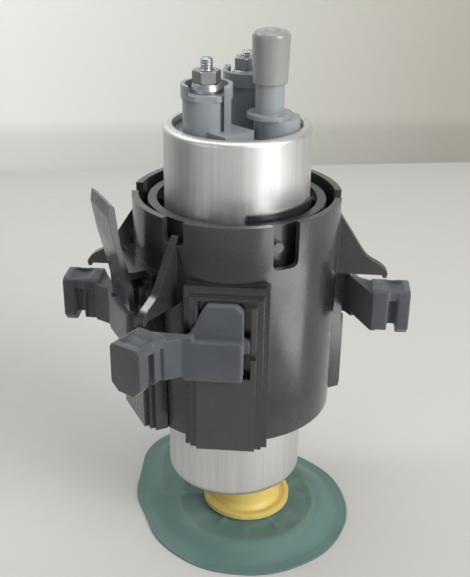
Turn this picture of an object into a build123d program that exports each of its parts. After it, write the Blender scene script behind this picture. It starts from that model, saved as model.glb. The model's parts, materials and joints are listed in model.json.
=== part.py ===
from build123d import *
import math
import os

# An electric fuel pump in its tank holder: a crimped can with the motor and a
# vaned impeller inside, a plastic end cap with two studs and an outlet nipple,
# a strainer on an inlet neck, and a moulded holder on rubber mounts.
# Millimetres. The origin is on the can's axis, at the strainer's underside.
# +Z points up, to the outlet, and the viewer stands on the -Y side.

# Fits
FIT = 0.05
SEAT_GAP = 0.1
FUSE = 0.5

# Can
CAN_RADIUS = 21.5
CAN_WALL = 1.5
CAN_LENGTH = 116.5
CAN_BASE_HEIGHT = 20.0
CAN_LIP_RADIUS = 18.9
CAN_LOWER_EDGE = 2.4
CAN_UPPER_EDGE = 1.5

# Inlet cover and its neck for the strainer
COVER_THICKNESS = 5.0
COVER_PILOT = 1.1
COVER_PILOT_GAP = 0.3
INLET_OFFSET = 4.4
SPIGOT_RADIUS = 8.0
SPIGOT_LENGTH = 9.5
INLET_BORE_RADIUS = 5.5
INLET_POCKET_ROOF = 3.5
INLET_CHANNEL_HEIGHT = 2.6
INLET_CHANNEL_WIDTH = 5.0
INLET_PORT_RADIUS = 1.8

# Impeller and its chamber
IMPELLER_RADIUS = 15.5
IMPELLER_THICKNESS = 3.6
IMPELLER_SIDE_GAP = 0.3
IMPELLER_TIP_GAP = 0.3
VANE_COUNT = 31
VANE_SLOT_LENGTH = 2.5
VANE_SLOT_WIDTH = 1.5
VANE_RIM = 0.8
VANE_SWEEP = 12.0
HOUSING_THICKNESS = 7.0
HOUSING_BOSS_RADIUS = 6.2
HOUSING_BOSS_HEIGHT = 4.0
CHANNEL_WIDTH = 2.4
CHANNEL_DEPTH = 1.6
OUTLET_PORT_RADIUS = 1.8
OUTLET_PORT_AZIMUTH = 40.0

# Shaft, bushes and thrust pad
SHAFT_RADIUS = 2.5
SHAFT_FLAT = 0.6
BUSH_RADIUS = 4.0
LOWER_BUSH_LENGTH = 8.0
UPPER_BUSH_LENGTH = 8.0
PAD_RADIUS = 3.0
PAD_THICKNESS = 0.9
PAD_SINK = 0.3

# Motor
FLUX_RING_WALL = 1.5
FLUX_RING_END_GAP = 6.0
MAGNET_THICKNESS = 3.2
MAGNET_SPAN = 138.0
MAGNET_END_INSET = 3.0
MAGNET_CLIP_SPAN = 26.0
MAGNET_CLIP_THICKNESS = 1.2
AIR_GAP = 0.7
CORE_SLOTS = 8
CORE_SLOT_RADIUS = 2.7
CORE_SLOT_PITCH_RADIUS = 10.2
CORE_SLOT_MOUTH = 1.6
WINDING_END_HEIGHT = 6.0
WINDING_END_GAP = 2.0
WINDING_BAR_GAP = 0.2
COMMUTATOR_RADIUS = 10.8
COMMUTATOR_THICKNESS = 2.4
COMMUTATOR_HUB_RADIUS = 5.2
COMMUTATOR_HUB_HEIGHT = 4.0
COMMUTATOR_SLOT = 0.6
COMMUTATOR_GAP = 2.0

# Brush holder, brushes and chokes
HOLDER_PLATE_HEIGHT = 23.7
HOLDER_PLATE_THICKNESS = 4.0
HOLDER_RIM_WALL = 2.0
HOLDER_HUB_RADIUS = 6.0
HOLDER_HUB_HEIGHT = 12.0
BRUSH_WIDTH = 4.0
BRUSH_DEPTH = 5.0
BRUSH_LENGTH = 11.0
BRUSH_ORBIT = 8.4
BRUSH_AZIMUTH = 25.0
BRUSH_TOWER_WALL = 1.4
BRUSH_CLEARANCE = 0.1
BRUSH_SPRING_RADIUS = 1.4
BRUSH_SPRING_WIRE = 0.25
BRUSH_SPRING_TURNS = 6
CHOKE_RADIUS = 2.0
CHOKE_LENGTH = 13.0
CHOKE_COIL_RADIUS = 2.9
CHOKE_COIL_LENGTH = 9.0
CHOKE_ORBIT = 13.0
CHOKE_AZIMUTH = 115.0

# End cap
DECK_DEPTH = 2.7
CAP_PLATE_THICKNESS = 4.1
CAP_RIM_WALL = 0.9
POST_RADIUS = 6.8
POST_FLOOR_HEIGHT = 12.9
REAR_POST_RISE = 0.9
COLLAR_RADIUS = 7.25
COLLAR_WALL = 1.2
COLLAR_DROP = 1.6
COLLAR_RISE = 2.3
COLLAR_MOUTH = 9.8
COLLAR_RIB_WIDTH = 1.8
COLLAR_RIB_DEPTH = 2.4
COLLAR_RIB_SET = 0.5
COLLAR_RELIEF = 0.2
COLLAR_RIB_TAIL = 11.4
LEFT_POST = (-8.7, -6.0)
REAR_POST = (2.7, 7.6)
LEFT_MOUTH_AZIMUTH = 270.0
REAR_MOUTH_AZIMUTH = 90.0
BLOCK_SIDE = 11.0
BLOCK_HEIGHT = 3.2
BLOCK_CENTRE = (-3.3, -10.2)
DRUM_RADIUS = 6.3
DRUM_HEIGHT = 5.8
DRUM_CENTRE = (11.2, -4.6)
NIPPLE_CENTRE = (8.8, -5.0)
NIPPLE_FLANGE_RADIUS = 6.4
NIPPLE_FLANGE_THICKNESS = 1.2
NIPPLE_ROOT_RADIUS = 4.05
NIPPLE_ROOT_LENGTH = 8.3
NIPPLE_TIP_RADIUS = 3.8
NIPPLE_TIP_LENGTH = 12.8
NIPPLE_BEAD_RADIUS = 4.25
NIPPLE_BEAD_HEIGHT = 2.4
NIPPLE_BEAD_DROP = 0.8
NIPPLE_BORE_RADIUS = 2.2
SEAL_SECTION = 0.9

# Studs, washers and nuts
STUD_SHANK_RADIUS = 2.0
STUD_TIP_RADIUS = 1.82
STUD_RISE = 9.3
REAR_STUD_DROP = 1.5
STUD_SINK = 14.0
STUD_HEAD_RADIUS = 3.2
STUD_HEAD_THICKNESS = 1.6
STUD_CHAMFER = 0.5
WASHER_RADIUS = 4.7
WASHER_TOP_RADIUS = 3.9
WASHER_RIM = 0.9
WASHER_THICKNESS = 2.4
NUT_ACROSS_FLATS = 7.0
NUT_THICKNESS = 3.5
NUT_CHAMFER = 0.45
NUT_CHAMFER_ANGLE = 30.0
NUT_BORE_GAP = 0.05
WASHER_BORE_GAP = 0.1

# Protective cap on the nipple
NIPPLE_CAP_TOP_RADIUS = 5.25
NIPPLE_CAP_FOOT_RADIUS = 4.85
NIPPLE_CAP_LENGTH = 14.0
NIPPLE_CAP_GAP = 0.1
NIPPLE_CAP_ROOF = 1.2
NIPPLE_CAP_BUTTON_RADIUS = 2.6
NIPPLE_CAP_BUTTON_HEIGHT = 0.5

# Valves
CHECK_BORE_RADIUS = 3.2
CHECK_BARREL_WALL = 1.3
CHECK_SEAT_HOLE = 1.7
CHECK_SEAT_THICKNESS = 1.8
CHECK_HEAD_RADIUS = 2.75
CHECK_HEAD_THICKNESS = 1.4
CHECK_STEM_RADIUS = 1.0
CHECK_STEM_LENGTH = 9.0
CHECK_SPRING_RADIUS = 2.5
CHECK_SPRING_WIRE = 0.2
CHECK_SPRING_TURNS = 4
CHECK_BORE_DEPTH = 9.6
VALVE_GAP = 0.05
RELIEF_BORE_RADIUS = 2.2
RELIEF_BOSS_RADIUS = 3.6
RELIEF_BOSS_HEIGHT = 5.0
RELIEF_SEAT_THICKNESS = 1.4
RELIEF_SEAT_HOLE = 1.1
RELIEF_BALL_RADIUS = 1.6
RELIEF_ROOF = 1.2
RELIEF_SPRING_RADIUS = 1.4
RELIEF_SPRING_WIRE = 0.25
RELIEF_SPRING_TURNS = 5

# Tank holder
SHELL_HEIGHT = 68.5
SHELL_BASE_HEIGHT = 47.5
SHELL_TOP_RADIUS = 31.0
SHELL_BASE_RADIUS = 30.1
SHELL_WALL = 2.0
SHELL_FLOOR = 2.5
SHELL_FLOOR_OPENING = 22.6
SHELL_RIB_COUNT = 12
SHELL_RIB_WIDTH = 2.0
SHELL_RIB_DROP = 9.0
ARM_AZIMUTHS = (175.5, 235.5, 355.5, 55.5)
BARE_SLOT_AZIMUTHS = (116.3, 296.3)
BOSS_TURN = 30.0
ARM_SLOT_WIDTH = 7.0
ARM_SLOT_DEPTH = 7.0
BARE_SLOT_WIDTH = 7.9
BARE_SLOT_DEPTH = 13.0

# Stepped bosses: half width, stand off the shell and rise above the pocket of each step
BOSS_STEPS = ((12.0, 0.9, 3.9), (10.4, 2.2, 1.1), (8.5, 3.4, -1.0))
POCKET_DEPTH = 3.0
POCKET_LEFT = -7.8
POCKET_RIGHT = 7.0
POCKET_GAP = 0.6
NECK_MOUTH_LEFT = -13.0
NECK_MOUTH_GAP = 2.0
RAIL_NOTCH_HEIGHT = 2.4
RAIL_NOTCH_RISE = 6.4
RAIL_NOTCH_DEPTH = 1.2

# Wings above the mounts: stand off the shell and height above the mount of each corner
WING_THICKNESS = 2.4
WING_TOP = ((-1.0, 24.0), (2.5, 18.8), (6.0, 13.3), (9.2, 9.2), (12.6, 7.2), (15.0, 4.4))
WING_FOOT = ((14.7, 3.0), (13.7, 3.0), (13.2, 3.9))
WING_ROOT_SINK = 1.2

# Snap tongue on the left boss: stand off the shell and height above the mount of each corner
TONGUE_AZIMUTH = 205.5
TONGUE_WIDTH = 15.6
TONGUE_THICKNESS = 1.8
TONGUE_LINE = ((6.3, -0.1), (6.7, 6.4), (8.3, 13.9), (10.0, 20.9), (11.4, 29.4))
TONGUE_RIDGE = ((10.9, 33.0), (9.4, 32.1))
TONGUE_BRIDGE_THICKNESS = 2.4
TONGUE_BRIDGE_SINK = 1.5

# Sleeve between can and holder
SLEEVE_OUTER_RADIUS = 26.3
SLEEVE_INNER_RADIUS = 23.7
SLEEVE_TOP_DROP = 1.6
SLEEVE_PAD_DROP = 5.0
SLEEVE_PAD_COUNT = 8
SLEEVE_PAD_WIDTH = 7.0
SLEEVE_LIP_WALL = 0.9
SLEEVE_LIP_FOOT = 2.0
SLEEVE_LIP_RISE = 0.3
SLEEVE_LIP_START = 278.0
SLEEVE_LIP_SPAN = 66.0
SLEEVE_PEG_RADIUS = 1.6
SLEEVE_PEG_DROP = 7.4
SLEEVE_PEG_REACH = 28.6
SLEEVE_PEG_TURN = -2.6

# Rubber mounts, in the arm's own directions: reach from the axis, across, height
MOUNT_RISE = 24.8
MOUNT_HEIGHT = 14.8
BODY_FOOT_RISE = 1.3
NECK_TOP_DROP = 1.2
NECK_RUN = 7.3
HEAD_SHIFT = 0.5
PLATE_THICKNESS = 3.7
GROOVE_WIDTH = 2.8
BODY_LENGTH = 5.0
HEAD_HALF_WIDTH = 5.2
GROOVE_DEPTH = 2.2
GROOVE_FOOT = 1.3
SLAB_HEIGHT = 3.6
HEAD_CORNER = 1.4
PLATE_FOOT_CHAMFER = 2.6
SADDLE_RADIUS = 4.2
SADDLE_DEPTH = 1.6
ARCH_WIDTH = 5.6
ARCH_HEIGHT = 10.5
ARCH_DEPTH = 1.0
ARCH_SET = 1.7
SEAT_DEPTH = 2.6
SEAT_LEFT = -11.9
SEAT_RIGHT = 4.9
SEAT_HEIGHT = 12.0
WEDGE_STAND = 0.4
WEDGE_HEIGHT = 10.4
WEDGE_TOP_LEFT = -5.2
WEDGE_CORNER = 2.0
TAB_WIDTH = 1.8
TAB_HEIGHT = 3.8
SEAT_FACE_GAP = 0.4
SEAT_EDGE = 1.0
WEDGE_SLOPE = 1.7
NECK_ROOT = 3.0
NECK_INSET = 0.2
SLAB_INSET = 0.3
SADDLE_CHEEK = 1.6

# Strainer
SOCK_FRONT_RADIUS = 35.0
SOCK_FRONT_OFFSET = 4.5
SOCK_TAIL_RADIUS = 24.3
SOCK_TAIL_CENTRE = (-9.5, 24.0)
SOCK_SIDE_RADIUS = 30.6
SOCK_SIDE_CENTRE = (-4.0, 10.0)
SOCK_EDGE = 0.8
SOCK_WELD = 3.0
SOCK_HEIGHT = 5.4
SOCK_SLOPE = 55.0
SOCK_SKIN = 0.8
FRAME_RING_RADIUS = 23.2
FRAME_RING_WIDTH = 1.6
FRAME_HUB_WIDTH = 3.0
FRAME_RIB_WIDTH = 1.5
FRAME_RIB_COUNT = 6
FRAME_RIB_TURN = 0.0
NECK_FLANGE_RADIUS = 14.5
NECK_FLANGE_THICKNESS = 1.3
NECK_LIP_WIDTH = 1.2
NECK_LIP_RISE = 0.5
NECK_WALL = 2.0
NECK_TOP_GAP = 0.4
CLIP_RING_WALL = 1.8
CLIP_RING_THICKNESS = 0.5

# Heights that follow from the sizes above
can_top = CAN_BASE_HEIGHT + CAN_LENGTH
can_bore = CAN_RADIUS - CAN_WALL
plug_radius = can_bore - FIT
cover_base = CAN_BASE_HEIGHT + CAN_WALL
cover_top = cover_base + COVER_THICKNESS
chamber_top = cover_top + IMPELLER_THICKNESS + 2 * IMPELLER_SIDE_GAP
housing_top = chamber_top + HOUSING_THICKNESS
housing_boss_top = housing_top + HOUSING_BOSS_HEIGHT
cap_rim_top = can_top - CAN_WALL
deck = can_top - DECK_DEPTH
cap_base = deck - CAP_PLATE_THICKNESS
brush_plate_base = cap_base - HOLDER_PLATE_HEIGHT
commutator_top = brush_plate_base - COMMUTATOR_GAP
commutator_base = commutator_top - COMMUTATOR_THICKNESS
hub_base = commutator_base - COMMUTATOR_HUB_HEIGHT
winding_top = hub_base - FIT
winding_base = housing_boss_top + WINDING_END_GAP
core_base = winding_base + WINDING_END_HEIGHT
core_top = winding_top - WINDING_END_HEIGHT
flux_outer = plug_radius
flux_inner = flux_outer - FLUX_RING_WALL
magnet_outer = flux_inner - FIT
magnet_inner = magnet_outer - MAGNET_THICKNESS
core_radius = magnet_inner - AIR_GAP
flux_base = housing_top + FLUX_RING_END_GAP
flux_top = brush_plate_base - FLUX_RING_END_GAP
shell_top = SHELL_BASE_HEIGHT + SHELL_HEIGHT
post_floor = deck + POST_FLOOR_HEIGHT
drum_top = deck + DRUM_HEIGHT
flange_top = drum_top + NIPPLE_FLANGE_THICKNESS
nipple_step = flange_top + NIPPLE_ROOT_LENGTH
nipple_top = nipple_step + NIPPLE_TIP_LENGTH
rear_floor = post_floor + REAR_POST_RISE
stud_top = post_floor + STUD_RISE
rear_stud_top = rear_floor + STUD_RISE - REAR_STUD_DROP
seat_base = SHELL_BASE_HEIGHT + SHELL_FLOOR
mount_base = SHELL_BASE_HEIGHT + MOUNT_RISE
mount_top = mount_base + MOUNT_HEIGHT
seat_top = mount_base + SEAT_HEIGHT
wedge_top = seat_top + WEDGE_HEIGHT
pocket_floor = mount_base - POCKET_GAP
pocket_top = wedge_top + POCKET_GAP
rail_reach = SHELL_TOP_RADIUS + BOSS_STEPS[-1][1]
pocket_reach = rail_reach - POCKET_DEPTH
seat_front = rail_reach + SEAT_FACE_GAP
seat_reach = seat_front + SEAT_DEPTH
wedge_reach = seat_front + WEDGE_STAND
body_back = rail_reach + NECK_RUN
body_front = body_back + BODY_LENGTH
plate_back = body_front + GROOVE_WIDTH


def turned(points, arc=360.0):
    """A solid of revolution about the can's axis from points of radius and height."""
    profile = make_face(Plane.XZ * Polyline(*points, close=True))
    return revolve(profile, Axis.Z, revolution_arc=arc)


def tube(outer, inner, base, top, centre=(0.0, 0.0)):
    """A straight tube, or a rod where the inner radius is zero."""
    section = Circle(outer)
    if inner > 0:
        section -= Circle(inner)
    return Pos(centre[0], centre[1], base) * extrude(section, top - base)


def block(low, high):
    """A box from its lowest to its highest corner."""
    size = [b - a for a, b in zip(low, high)]
    middle = [(a + b) / 2 for a, b in zip(low, high)]
    return Pos(*middle) * Box(*size)


def turn(azimuth):
    """The placing that turns +X to an azimuth about the can's axis."""
    return Rot(0, 0, azimuth)


def plate_on_arm(points, thickness):
    """A flat plate in the arm's upright plane from points of reach and height."""
    face = make_face(Plane.XZ * Polyline(*points, close=True))
    return Pos(0, thickness / 2, 0) * extrude(face, thickness, dir=(0, -1, 0))


def can():
    """The deep drawn can with both lips rolled in."""
    face = make_face(
        Polyline(
            (CAN_LIP_RADIUS, CAN_BASE_HEIGHT),
            (CAN_RADIUS, CAN_BASE_HEIGHT),
            (CAN_RADIUS, can_top),
            (CAN_LIP_RADIUS, can_top),
            (CAN_LIP_RADIUS, can_top - CAN_WALL),
            (can_bore, can_top - CAN_WALL),
            (can_bore, cover_base),
            (CAN_LIP_RADIUS, cover_base),
            close=True,
        )
    )
    lower = face.vertices().sort_by_distance((CAN_RADIUS, CAN_BASE_HEIGHT, 0))[0]
    face = fillet(lower, CAN_LOWER_EDGE)
    upper = face.vertices().sort_by_distance((CAN_RADIUS, can_top, 0))[0]
    face = fillet(upper, CAN_UPPER_EDGE)
    return revolve(Plane.XZ * face, Axis.Z)


def inlet_cover():
    """The lower pump cover with its inlet channel, port and spigot."""
    pilot = CAN_LIP_RADIUS - COVER_PILOT_GAP
    centre = (INLET_OFFSET, 0.0)
    body = tube(plug_radius, 0, cover_base, cover_top)
    body += tube(pilot, 0, cover_base - COVER_PILOT, cover_base)
    spigot_base = cover_base - COVER_PILOT - SPIGOT_LENGTH
    body += tube(SPIGOT_RADIUS, 0, spigot_base, cover_base, centre)
    pocket_top = cover_top - INLET_POCKET_ROOF
    body -= tube(INLET_BORE_RADIUS, 0, spigot_base, pocket_top, centre)
    port_orbit = IMPELLER_RADIUS - VANE_RIM - VANE_SLOT_LENGTH / 2
    half = INLET_CHANNEL_WIDTH / 2
    body -= block(
        (INLET_OFFSET, -half, pocket_top - INLET_CHANNEL_HEIGHT),
        (port_orbit + INLET_PORT_RADIUS, half, pocket_top),
    )
    body -= tube(INLET_PORT_RADIUS, 0, pocket_top, cover_top, (port_orbit, 0.0))
    body -= tube(PAD_RADIUS + FIT, 0, cover_top - PAD_SINK - PAD_THICKNESS, cover_top)
    return body


def impeller():
    """The vaned wheel: swept through slots inside a closed rim, and a flatted bore."""
    base = cover_top + IMPELLER_SIDE_GAP
    wheel = tube(IMPELLER_RADIUS, 0, base, base + IMPELLER_THICKNESS)
    slot_reach = IMPELLER_RADIUS - VANE_RIM - VANE_SLOT_LENGTH / 2
    slot = Pos(slot_reach, 0, 0) * Rot(0, 0, VANE_SWEEP) * Rectangle(VANE_SLOT_LENGTH, VANE_SLOT_WIDTH)
    slots = Sketch() + [Rot(0, 0, 360 * i / VANE_COUNT) * slot for i in range(VANE_COUNT)]
    wheel -= Pos(0, 0, base) * extrude(slots, IMPELLER_THICKNESS)
    bore = Circle(SHAFT_RADIUS + FIT)
    flat = SHAFT_RADIUS - SHAFT_FLAT + FIT
    bore -= Pos(flat + SHAFT_RADIUS, 0) * Rectangle(2 * SHAFT_RADIUS, 4 * SHAFT_RADIUS)
    return wheel - Pos(0, 0, base) * extrude(bore, IMPELLER_THICKNESS)


def chamber_ring():
    """The spacer ring that the impeller turns in."""
    return tube(plug_radius, IMPELLER_RADIUS + IMPELLER_TIP_GAP, cover_top, chamber_top)


def pump_housing():
    """The upper pump cover with its side channel, outlet port and bush boss."""
    body = tube(plug_radius, 0, chamber_top, housing_top)
    body += tube(HOUSING_BOSS_RADIUS, 0, housing_top, housing_boss_top)
    body -= tube(SHAFT_RADIUS + SEAT_GAP, 0, chamber_top, housing_boss_top)
    body -= tube(BUSH_RADIUS + FIT, 0, housing_boss_top - LOWER_BUSH_LENGTH, housing_boss_top)
    middle = IMPELLER_RADIUS - VANE_RIM - VANE_SLOT_LENGTH / 2
    half = CHANNEL_WIDTH / 2
    body -= tube(middle + half, middle - half, chamber_top, chamber_top + CHANNEL_DEPTH)
    port = tube(OUTLET_PORT_RADIUS, 0, chamber_top, housing_top, (middle, 0.0))
    return body - turn(OUTLET_PORT_AZIMUTH) * port


def bush(base, length):
    """A sintered bush round the shaft."""
    return tube(BUSH_RADIUS, SHAFT_RADIUS + FIT, base, base + length)


def thrust_pad():
    """The hard disc under the shaft's end."""
    base = cover_top - PAD_SINK - PAD_THICKNESS
    return tube(PAD_RADIUS, 0, base, base + PAD_THICKNESS)


def shaft():
    """The rotor's shaft, with the flat that drives the impeller."""
    base = cover_top - PAD_SINK + FIT
    top = brush_plate_base + HOLDER_HUB_HEIGHT - FIT
    rod = tube(SHAFT_RADIUS, 0, base, top)
    reach = SHAFT_RADIUS - SHAFT_FLAT
    return rod - block(
        (reach, -SHAFT_RADIUS, base),
        (SHAFT_RADIUS, SHAFT_RADIUS, chamber_top - IMPELLER_SIDE_GAP),
    )


def core_section():
    """The lamination's outline with its slots and slot mouths."""
    section = Circle(core_radius) - Circle(SHAFT_RADIUS + FIT)
    for i in range(CORE_SLOTS):
        mouth = core_radius - CORE_SLOT_PITCH_RADIUS + 1
        slot = Pos(CORE_SLOT_PITCH_RADIUS, 0) * Circle(CORE_SLOT_RADIUS)
        slot += Pos(CORE_SLOT_PITCH_RADIUS + mouth / 2, 0) * Rectangle(mouth, CORE_SLOT_MOUTH)
        section -= Rot(0, 0, 360 * i / CORE_SLOTS) * slot
    return section


def armature_core():
    """The laminated core."""
    return Pos(0, 0, core_base) * extrude(core_section(), core_top - core_base)


def armature_winding():
    """The copper: one bar through each slot between two rounded end turns."""
    outer = CORE_SLOT_PITCH_RADIUS + CORE_SLOT_RADIUS
    inner = SHAFT_RADIUS + 1.5
    ends = []
    for base, top in ((winding_base, core_base - FIT), (core_top + FIT, winding_top)):
        face = make_face(Polyline((inner, base), (outer, base), (outer, top), (inner, top), close=True))
        face = fillet(face.vertices(), (top - base) / 3)
        ends.append(revolve(Plane.XZ * face, Axis.Z))
    copper = ends[0] + ends[1]
    for i in range(CORE_SLOTS):
        bar = tube(
            CORE_SLOT_RADIUS - WINDING_BAR_GAP,
            0,
            core_base - WINDING_END_HEIGHT / 2,
            core_top + WINDING_END_HEIGHT / 2,
            (CORE_SLOT_PITCH_RADIUS, 0.0),
        )
        copper += turn(360 * i / CORE_SLOTS) * bar
    return copper


def commutator_hub():
    """The moulded hub that carries the segments."""
    hub = tube(COMMUTATOR_HUB_RADIUS, SHAFT_RADIUS + FIT, hub_base, commutator_top - 0.4)
    return hub + tube(COMMUTATOR_RADIUS, SHAFT_RADIUS + FIT, commutator_base - 1.2, commutator_base)


def commutator_segments():
    """The carbon segments of the flat commutator."""
    disc = Circle(COMMUTATOR_RADIUS) - Circle(COMMUTATOR_HUB_RADIUS + FIT)
    for i in range(CORE_SLOTS // 2):
        cut = Rectangle(3 * COMMUTATOR_RADIUS, COMMUTATOR_SLOT)
        disc -= Rot(0, 0, 360 * (i + 0.5) / CORE_SLOTS) * cut
    return Pos(0, 0, commutator_base) * extrude(disc, COMMUTATOR_THICKNESS)


def flux_ring():
    """The steel ring that closes the magnets' field."""
    return tube(flux_outer, flux_inner, flux_base, flux_top)


def magnet(azimuth):
    """One magnet shell."""
    base = flux_base + MAGNET_END_INSET
    top = flux_top - MAGNET_END_INSET
    points = ((magnet_inner, base), (magnet_outer, base), (magnet_outer, top), (magnet_inner, top))
    return turn(azimuth - MAGNET_SPAN / 2) * turned(points, MAGNET_SPAN)


def magnet_clip(azimuth):
    """The sprung strip that keeps the magnets apart."""
    base = flux_base + MAGNET_END_INSET
    top = flux_top - MAGNET_END_INSET
    inner = magnet_outer - MAGNET_CLIP_THICKNESS
    points = ((inner, base), (magnet_outer, base), (magnet_outer, top), (inner, top))
    return turn(azimuth - MAGNET_CLIP_SPAN / 2) * turned(points, MAGNET_CLIP_SPAN)


def brush_place(index):
    """The placing of one brush, from +X to its azimuth."""
    return turn(BRUSH_AZIMUTH + 180 * index)


def brush_plate():
    """The plate with the brush towers, the upper bush hub and the flow windows."""
    top = brush_plate_base + HOLDER_PLATE_THICKNESS
    body = tube(plug_radius, plug_radius - HOLDER_RIM_WALL, brush_plate_base, cap_base)
    body += tube(plug_radius - HOLDER_RIM_WALL / 2, 0, brush_plate_base, top)
    hub_top = brush_plate_base + HOLDER_HUB_HEIGHT
    body += tube(HOLDER_HUB_RADIUS, 0, brush_plate_base, hub_top)
    half_deep = BRUSH_DEPTH / 2 + BRUSH_TOWER_WALL
    half_wide = BRUSH_WIDTH / 2 + BRUSH_TOWER_WALL
    for i in range(2):
        body += brush_place(i) * block(
            (BRUSH_ORBIT - half_deep, -half_wide, brush_plate_base),
            (BRUSH_ORBIT + half_deep, half_wide, cap_base),
        )
    deep = BRUSH_DEPTH / 2 + BRUSH_CLEARANCE
    wide = BRUSH_WIDTH / 2 + BRUSH_CLEARANCE
    for i in range(2):
        body -= brush_place(i) * block(
            (BRUSH_ORBIT - deep, -wide, brush_plate_base),
            (BRUSH_ORBIT + deep, wide, cap_base),
        )
        window = tube(CHOKE_COIL_RADIUS, 0, brush_plate_base, top, (CHOKE_ORBIT, 0.0))
        body -= turn(BRUSH_AZIMUTH + 90 * (2 * i + 1) + 40) * window
    body -= tube(SHAFT_RADIUS + SEAT_GAP, 0, brush_plate_base, hub_top)
    return body - tube(BUSH_RADIUS + FIT, 0, hub_top - UPPER_BUSH_LENGTH, hub_top)


def brush(index):
    """One carbon brush standing on the commutator."""
    base = commutator_top + FIT
    half_deep = BRUSH_DEPTH / 2
    half_wide = BRUSH_WIDTH / 2
    return brush_place(index) * block(
        (BRUSH_ORBIT - half_deep, -half_wide, base),
        (BRUSH_ORBIT + half_deep, half_wide, base + BRUSH_LENGTH),
    )


def coil_spring(radius, wire, base, top, turns, centre):
    """A round wire compression spring between two faces."""
    height = top - base - 2 * wire
    path = Helix(pitch=height / turns, height=height, radius=radius)
    section = Plane(origin=path @ 0, z_dir=path % 0) * Circle(wire)
    return Pos(centre[0], centre[1], base + wire) * sweep(section, path=path)


def brush_spring(index):
    """The spring above one brush."""
    base = commutator_top + FIT + BRUSH_LENGTH + FIT
    centre = (BRUSH_ORBIT, 0.0)
    top = cap_base - FIT
    spring = coil_spring(BRUSH_SPRING_RADIUS, BRUSH_SPRING_WIRE, base, top, BRUSH_SPRING_TURNS, centre)
    return brush_place(index) * spring


def choke(index):
    """One suppression choke: a ferrite rod with its winding as a sleeve."""
    base = brush_plate_base + HOLDER_PLATE_THICKNESS
    rod = tube(CHOKE_RADIUS, 0, base, base + CHOKE_LENGTH, (CHOKE_ORBIT, 0.0))
    low = base + (CHOKE_LENGTH - CHOKE_COIL_LENGTH) / 2
    rod += tube(CHOKE_COIL_RADIUS, 0, low, low + CHOKE_COIL_LENGTH, (CHOKE_ORBIT, 0.0))
    return turn(CHOKE_AZIMUTH + 180 * index) * rod


def terminal_post(centre, floor, mouth_azimuth):
    """A round post with an open collar round the stud and a rib beside the mouth."""
    post = tube(POST_RADIUS, 0, deck - FUSE, floor)
    ring_base = floor - COLLAR_DROP
    ring_top = floor + COLLAR_RISE
    post += tube(COLLAR_RADIUS, COLLAR_RADIUS - COLLAR_WALL, ring_base, ring_top)
    half = COLLAR_MOUTH / 2
    post -= block((0, -half, floor), (COLLAR_RADIUS + FUSE, half, ring_top))
    post -= block((POST_RADIUS - COLLAR_RELIEF, -half, ring_base), (COLLAR_RADIUS + FUSE, half, floor))
    rib = block(
        (POST_RADIUS - COLLAR_RIB_DEPTH - COLLAR_RIB_SET, half, floor - COLLAR_RIB_TAIL),
        (POST_RADIUS - COLLAR_RIB_SET, half + COLLAR_RIB_WIDTH, ring_top),
    )
    return Pos(centre[0], centre[1], 0) * turn(mouth_azimuth) * (post + rib)


def end_cap():
    """The moulded cap: rim, deck, two posts, block, drum, flange and nipple."""
    body = tube(plug_radius, 0, cap_base, deck)
    body += tube(plug_radius, plug_radius - CAP_RIM_WALL, deck, cap_rim_top)
    body += terminal_post(LEFT_POST, post_floor, LEFT_MOUTH_AZIMUTH)
    body += terminal_post(REAR_POST, rear_floor, REAR_MOUTH_AZIMUTH)
    spot = Pos(BLOCK_CENTRE[0], BLOCK_CENTRE[1], 0) * turn(45)
    half = BLOCK_SIDE / 2
    body += spot * block((-half, -half, deck - FUSE), (half, half, deck + BLOCK_HEIGHT))
    body += tube(RELIEF_BOSS_RADIUS, 0, cap_base - RELIEF_BOSS_HEIGHT, deck, BLOCK_CENTRE)
    body += tube(DRUM_RADIUS, 0, deck - FUSE, drum_top, DRUM_CENTRE)
    barrel = CHECK_BORE_RADIUS + CHECK_BARREL_WALL
    body += tube(barrel, 0, deck - FUSE, drum_top, NIPPLE_CENTRE)
    body += tube(NIPPLE_FLANGE_RADIUS, 0, drum_top, flange_top, NIPPLE_CENTRE)
    body += tube(NIPPLE_ROOT_RADIUS, 0, flange_top - FUSE, nipple_step, NIPPLE_CENTRE)
    body += tube(NIPPLE_TIP_RADIUS, 0, nipple_step - FUSE, nipple_top, NIPPLE_CENTRE)
    bead_top = nipple_top - NIPPLE_BEAD_DROP
    body += tube(NIPPLE_BEAD_RADIUS, 0, bead_top - NIPPLE_BEAD_HEIGHT, bead_top, NIPPLE_CENTRE)
    body -= tube(NIPPLE_BORE_RADIUS, 0, cap_base, nipple_top, NIPPLE_CENTRE)
    body -= tube(CHECK_BORE_RADIUS, 0, cap_base, cap_base + CHECK_BORE_DEPTH, NIPPLE_CENTRE)
    relief_top = deck + BLOCK_HEIGHT - RELIEF_ROOF
    relief_base = cap_base - RELIEF_BOSS_HEIGHT
    body -= tube(RELIEF_BORE_RADIUS, 0, relief_base, relief_top, BLOCK_CENTRE)
    for centre, floor in ((LEFT_POST, post_floor), (REAR_POST, rear_floor)):
        body -= tube(STUD_SHANK_RADIUS + FIT, 0, cap_base, floor, centre)
        head_top = floor - STUD_SINK + STUD_HEAD_THICKNESS + FIT
        body -= tube(STUD_HEAD_RADIUS + FIT, 0, cap_base, head_top, centre)
    return body


def cap_seal():
    """The rubber ring between the end cap's plate and the brush plate's rim."""
    middle = plug_radius - HOLDER_RIM_WALL - SEAL_SECTION - FIT
    ring = Pos(middle, cap_base - SEAL_SECTION - FIT) * Circle(SEAL_SECTION)
    return revolve(Plane.XZ * ring, Axis.Z)


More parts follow.
